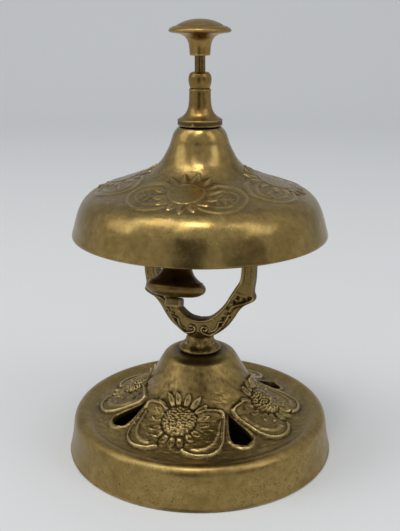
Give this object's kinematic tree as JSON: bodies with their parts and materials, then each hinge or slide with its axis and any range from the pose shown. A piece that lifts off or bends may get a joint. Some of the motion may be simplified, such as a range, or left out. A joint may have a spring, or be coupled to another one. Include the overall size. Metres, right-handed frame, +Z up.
{
  "type": "counter bell",
  "caption": "Domed bell on a harp-shaped yoke and round base; a push knob swings a clapper against the bell's inside.",
  "frame": {"origin": "centre of the base's bottom ring, on the surface that the bell stands on", "axes": "+Z up along the bell's axis; -Y is the front, where the clapper hangs; the yoke's harp lies in the XZ plane"},
  "size_m": [0.095, 0.095, 0.1498],
  "materials": {
    "base_brass": "satin antique brass with dark patina in the relief",
    "bell_brass": "satin antique brass, polished on the shoulder",
    "yoke_brass": "cast antique brass, dark in the recesses",
    "neck_brass": "turned brass, satin",
    "knob_brass": "turned brass, worn by use",
    "rod_brass": "drawn brass rod, satin",
    "lever_brass": "cast brass, dark and dull",
    "clapper_brass": "turned brass with a dark patina",
    "fitting_brass": "turned brass, dull",
    "steel": "plain zinc-coated steel"
  },
  "bodies": {
    "frame": {"base_shell": "base_brass", "base_screw": "steel", "base_washer": "steel", "base_lock_washer": "steel", "yoke": "yoke_brass", "bell_dome": "bell_brass", "guide_stem": "fitting_brass", "stem_lock_nut": "fitting_brass", "bell_washer": "fitting_brass", "bell_support_nut": "fitting_brass", "neck_nut": "neck_brass", "pivot_pin": "steel", "pin_clip_right": "steel", "pin_clip_left": "steel", "return_spring": "steel"},
    "plunger": {"push_knob": "knob_brass", "plunger_rod": "rod_brass", "spring_seat": "fitting_brass", "stop_collar": "fitting_brass"},
    "hammer": {"hammer_lever": "lever_brass", "clapper": "clapper_brass", "clapper_screw": "clapper_brass"}
  },
  "joints": [
    {"name": "plunger_slide", "type": "slide", "parent": "frame", "child": "plunger", "axis": [0, 0, -1], "range_m": [0, 0.0039], "stiffness_N_per_m": 150, "springref_m": -0.013, "deforming": ["return_spring"]},
    {"name": "hammer_pivot", "type": "hinge", "parent": "frame", "child": "hammer", "pos_m": [0, -0.009, 0.0909], "axis": [-1, 0, 0], "range_deg": [0, 24.45]}
  ],
  "couplings": [
    {"joint": "hammer_pivot", "follows": "plunger_slide", "rad_per_m": 109.4}
  ]
}
